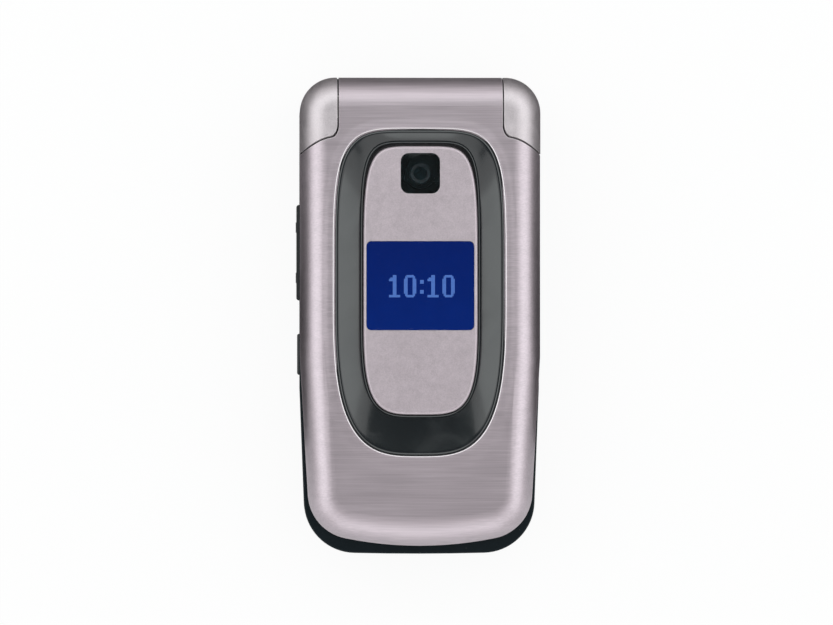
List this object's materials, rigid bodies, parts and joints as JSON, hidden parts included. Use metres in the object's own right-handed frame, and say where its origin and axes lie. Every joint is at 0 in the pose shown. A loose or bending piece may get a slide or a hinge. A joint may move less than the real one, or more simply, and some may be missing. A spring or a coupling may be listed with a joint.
{
  "type": "flip phone",
  "caption": "Closed folding mobile phone with a hinged lid, sloping ring around an outer display island, camera window, keypad inside, side keys and sliding battery cover.",
  "frame": {"origin": "middle of the bottom of the bounding box, on the plane the phone lies on", "axes": "+Z out of the outer face of the lid, +Y toward the hinge end, +X across the phone to the right as seen from above"},
  "size_m": [0.0473, 0.0922, 0.023],
  "materials": {
    "lid_metal": "brushed along the width, lacquered",
    "shoulder_paint": "metallic paint with fine flakes",
    "dark_plastic": "satin, very dark blue-grey",
    "ring_gloss": "polished black",
    "island_paint": "matte metallic paint, fine grain",
    "display_glass": "clear, polished",
    "clear_glass": "clear, polished",
    "inner_plastic": "fine matte texture",
    "key_plastic": "satin painted keys",
    "rubber_dark": "soft matte",
    "silicone": "translucent silicone",
    "board_green": "solder mask",
    "steel": "plain",
    "contact_metal": "plated",
    "battery_wrap": "satin label",
    "flex_film": "thin polyimide film",
    "module_body": "moulded"
  },
  "bodies": {
    "base": {"base_rear_housing": "dark_plastic", "base_front_cover": "dark_plastic", "shoulder_left": "shoulder_paint", "shoulder_right": "shoulder_paint", "main_board": "board_green", "shield_cans": "steel", "key_domes": "steel", "keymat_web": "silicone", "battery": "battery_wrap", "battery_contacts": "contact_metal", "sim_holder": "steel", "loudspeaker": "module_body", "antenna_plate": "contact_metal", "charger_jack": "module_body", "accessory_connector": "module_body", "base_screws": "steel", "side_key_bracket": "steel", "hinge_shaft": "steel"},
    "lid": {"lid_outer_shell": "lid_metal", "lid_inner_cover": "inner_plastic", "trough_ring": "ring_gloss", "display_island": "island_paint", "outer_display_window": "display_glass", "outer_display_module": "module_body", "camera_window": "clear_glass", "camera_module": "module_body", "inner_display_window": "clear_glass", "inner_display_module": "module_body", "lid_board": "board_green", "earpiece": "module_body", "vibra_motor": "steel", "lid_screws": "steel", "bumpers": "rubber_dark", "hinge_can": "steel", "hinge_follower": "steel", "hinge_spring": "steel", "flex_cable": "flex_film"},
    "vibra_rotor": {"vibra_weight": "steel"},
    "back_cover": {"battery_cover": "dark_plastic"},
    "nav_pusher": {"scroll_pusher": "inner_plastic"},
    "nav_ring": {"scroll_ring": "key_plastic"},
    "volume": {"volume_rocker": "rubber_dark"},
    "side_button": {"side_key": "rubber_dark"},
    "select": {"select_key": "key_plastic"},
    "key_0_cap": {"key_0": "key_plastic"},
    "key_1_cap": {"key_1": "key_plastic"},
    "key_2_cap": {"key_2": "key_plastic"},
    "key_3_cap": {"key_3": "key_plastic"},
    "key_4_cap": {"key_4": "key_plastic"},
    "key_5_cap": {"key_5": "key_plastic"},
    "key_6_cap": {"key_6": "key_plastic"},
    "key_7_cap": {"key_7": "key_plastic"},
    "key_8_cap": {"key_8": "key_plastic"},
    "key_9_cap": {"key_9": "key_plastic"},
    "key_star_cap": {"key_star": "key_plastic"},
    "key_hash_cap": {"key_hash": "key_plastic"},
    "soft_key_left_cap": {"soft_key_left": "key_plastic"},
    "soft_key_right_cap": {"soft_key_right": "key_plastic"},
    "call_key_cap": {"call_key": "key_plastic"},
    "end_key_cap": {"end_key": "key_plastic"}
  },
  "joints": [
    {"name": "lid_hinge", "type": "hinge", "parent": "base", "child": "lid", "pos_m": [0, 0.0403, 0.01715], "axis": [-1, 0, 0], "range_deg": [0, 155], "deforming": ["flex_cable"]},
    {"name": "vibra_spin", "type": "hinge", "parent": "lid", "child": "vibra_rotor", "pos_m": [-0.006, -0.0295, 0.016], "axis": [1, 0, 0], "continuous": true},
    {"name": "cover_slide", "type": "slide", "parent": "base", "child": "back_cover", "axis": [0, -1, 0], "range_m": [0, 0.058]},
    {"name": "nav_tilt_up_down", "type": "hinge", "parent": "base", "child": "nav_pusher", "pos_m": [0, 0.0171, 0.0093], "axis": [1, 0, 0], "range_deg": [-1.5, 1.5], "stiffness_Nm_per_rad": 0.3},
    {"name": "nav_tilt_left_right", "type": "hinge", "parent": "nav_pusher", "child": "nav_ring", "pos_m": [0, 0.0171, 0.0099], "axis": [0, 1, 0], "range_deg": [-1.5, 1.5], "stiffness_Nm_per_rad": 0.3},
    {"name": "volume_rock", "type": "hinge", "parent": "base", "child": "volume", "pos_m": [-0.0206, 0.0123, 0.0074], "axis": [0, 0, 1], "range_deg": [-1.5, 1.5], "stiffness_Nm_per_rad": 0.27},
    {"name": "side_key_press", "type": "slide", "parent": "base", "child": "side_button", "axis": [1, 0, 0], "range_m": [0, 0.0003], "stiffness_N_per_m": 600},
    {"name": "select_press", "type": "slide", "parent": "base", "child": "select", "axis": [0, 0, -1], "range_m": [0, 0.00035], "stiffness_N_per_m": 500},
    {"name": "key_0_press", "type": "slide", "parent": "base", "child": "key_0_cap", "axis": [0, 0, -1], "range_m": [0, 0.00035], "stiffness_N_per_m": 500},
    {"name": "key_1_press", "type": "slide", "parent": "base", "child": "key_1_cap", "axis": [0, 0, -1], "range_m": [0, 0.00035], "stiffness_N_per_m": 500},
    {"name": "key_2_press", "type": "slide", "parent": "base", "child": "key_2_cap", "axis": [0, 0, -1], "range_m": [0, 0.00035], "stiffness_N_per_m": 500},
    {"name": "key_3_press", "type": "slide", "parent": "base", "child": "key_3_cap", "axis": [0, 0, -1], "range_m": [0, 0.00035], "stiffness_N_per_m": 500},
    {"name": "key_4_press", "type": "slide", "parent": "base", "child": "key_4_cap", "axis": [0, 0, -1], "range_m": [0, 0.00035], "stiffness_N_per_m": 500},
    {"name": "key_5_press", "type": "slide", "parent": "base", "child": "key_5_cap", "axis": [0, 0, -1], "range_m": [0, 0.00035], "stiffness_N_per_m": 500},
    {"name": "key_6_press", "type": "slide", "parent": "base", "child": "key_6_cap", "axis": [0, 0, -1], "range_m": [0, 0.00035], "stiffness_N_per_m": 500},
    {"name": "key_7_press", "type": "slide", "parent": "base", "child": "key_7_cap", "axis": [0, 0, -1], "range_m": [0, 0.00035], "stiffness_N_per_m": 500},
    {"name": "key_8_press", "type": "slide", "parent": "base", "child": "key_8_cap", "axis": [0, 0, -1], "range_m": [0, 0.00035], "stiffness_N_per_m": 500},
    {"name": "key_9_press", "type": "slide", "parent": "base", "child": "key_9_cap", "axis": [0, 0, -1], "range_m": [0, 0.00035], "stiffness_N_per_m": 500},
    {"name": "key_star_press", "type": "slide", "parent": "base", "child": "key_star_cap", "axis": [0, 0, -1], "range_m": [0, 0.00035], "stiffness_N_per_m": 500},
    {"name": "key_hash_press", "type": "slide", "parent": "base", "child": "key_hash_cap", "axis": [0, 0, -1], "range_m": [0, 0.00035], "stiffness_N_per_m": 500},
    {"name": "soft_key_left_press", "type": "slide", "parent": "base", "child": "soft_key_left_cap", "axis": [0, 0, -1], "range_m": [0, 0.00035], "stiffness_N_per_m": 500},
    {"name": "soft_key_right_press", "type": "slide", "parent": "base", "child": "soft_key_right_cap", "axis": [0, 0, -1], "range_m": [0, 0.00035], "stiffness_N_per_m": 500},
    {"name": "call_key_press", "type": "slide", "parent": "base", "child": "call_key_cap", "axis": [0, 0, -1], "range_m": [0, 0.00035], "stiffness_N_per_m": 500},
    {"name": "end_key_press", "type": "slide", "parent": "base", "child": "end_key_cap", "axis": [0, 0, -1], "range_m": [0, 0.00035], "stiffness_N_per_m": 500}
  ]
}
